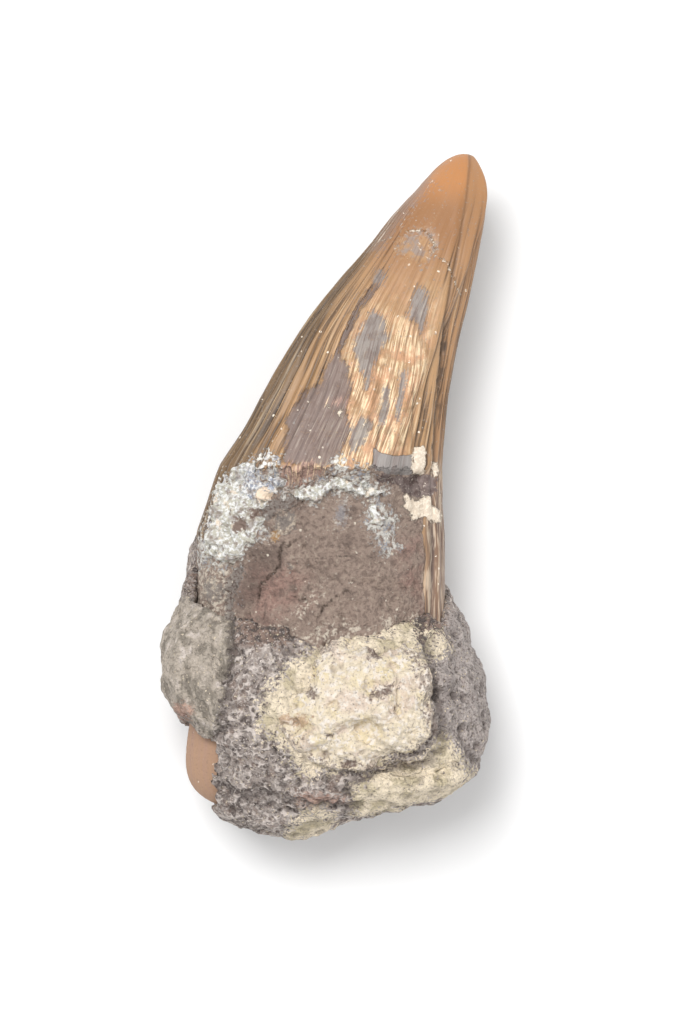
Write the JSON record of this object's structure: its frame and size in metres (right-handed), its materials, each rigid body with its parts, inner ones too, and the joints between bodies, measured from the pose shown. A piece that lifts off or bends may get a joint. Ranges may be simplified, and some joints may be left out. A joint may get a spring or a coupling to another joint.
{
  "type": "fossil tooth",
  "caption": "Fossil metoposaur tooth: a curved, ribbed orange-brown crown on its root, held in dark pitted rock with a pale slab, and a crust of pale crystals round the neck.",
  "frame": {"origin": "middle of the footprint, on the surface that the fossil rests on", "axes": "+Y from the foot of the rock to the tip of the crown, +Z out of the side that shows, +X to the right seen from above"},
  "size_m": [0.0176, 0.0364, 0.0129],
  "materials": {
    "tooth": "waxy, semi-gloss enamel over a dull brown root",
    "rock": "dull, rough and pitted",
    "pale_slab": "dull, chalky",
    "crystal_crust": "sugary crystals"
  },
  "bodies": {
    "root": {"tooth": "tooth", "rock": "rock", "pale_slab": "pale_slab", "crystal_crust": "crystal_crust"}
  },
  "joints": []
}
